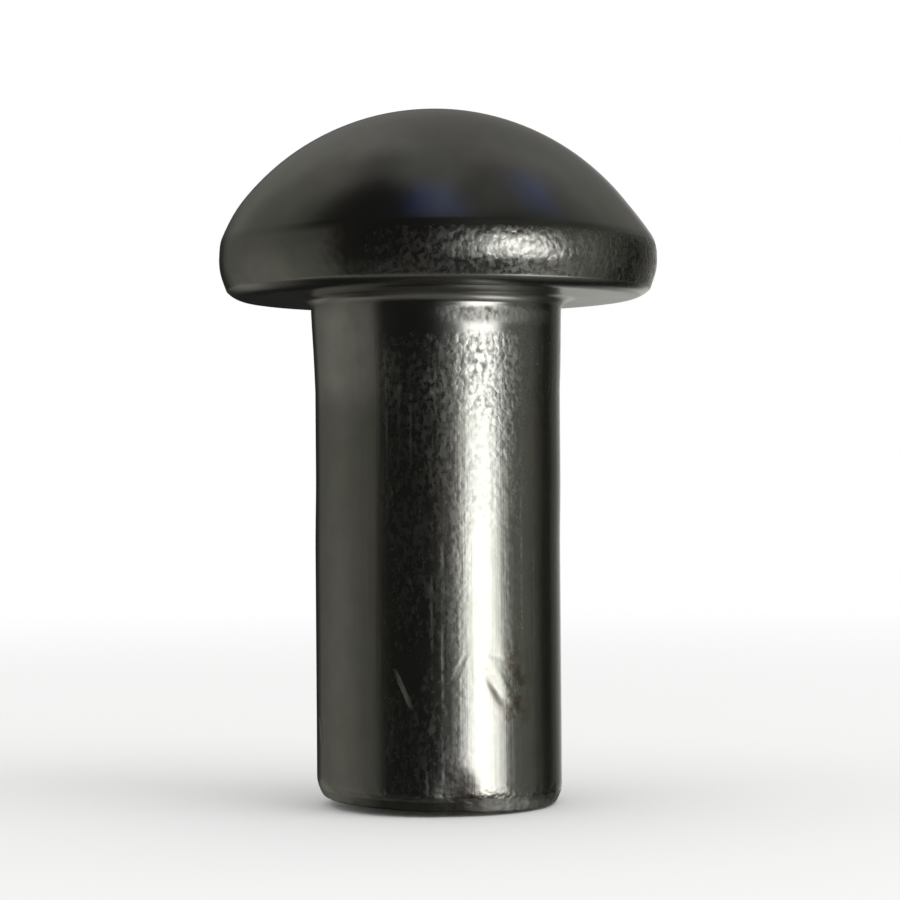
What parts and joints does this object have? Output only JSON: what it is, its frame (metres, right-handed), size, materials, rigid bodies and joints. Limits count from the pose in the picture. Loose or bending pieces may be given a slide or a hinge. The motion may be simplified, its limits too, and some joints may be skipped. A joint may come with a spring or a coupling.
{
  "type": "solid rivet",
  "caption": "Solid steel rivet with a round domed head, a roughened rim band, a filleted neck and a straight shank with a bevelled, cropped end.",
  "frame": {"origin": "centre of the bearing face under the head, on the shank's axis", "axes": "+Z along the rivet's axis from the cropped end towards the top of the head; the body is round about it, so X and Y are free, and the few nicks on the visual model face -Y"},
  "size_m": [0.0114, 0.0114, 0.018],
  "materials": {
    "steel": "plain uncoated steel, dark grey with a faint olive-brown cast: smooth satin on the dome, lengthwise drawing lines and fine mottling on the shank, coarse orange-peel grain on the rim band, a few light nicks near the cropped end"
  },
  "bodies": {
    "root": {"rivet": "steel"}
  },
  "joints": []
}
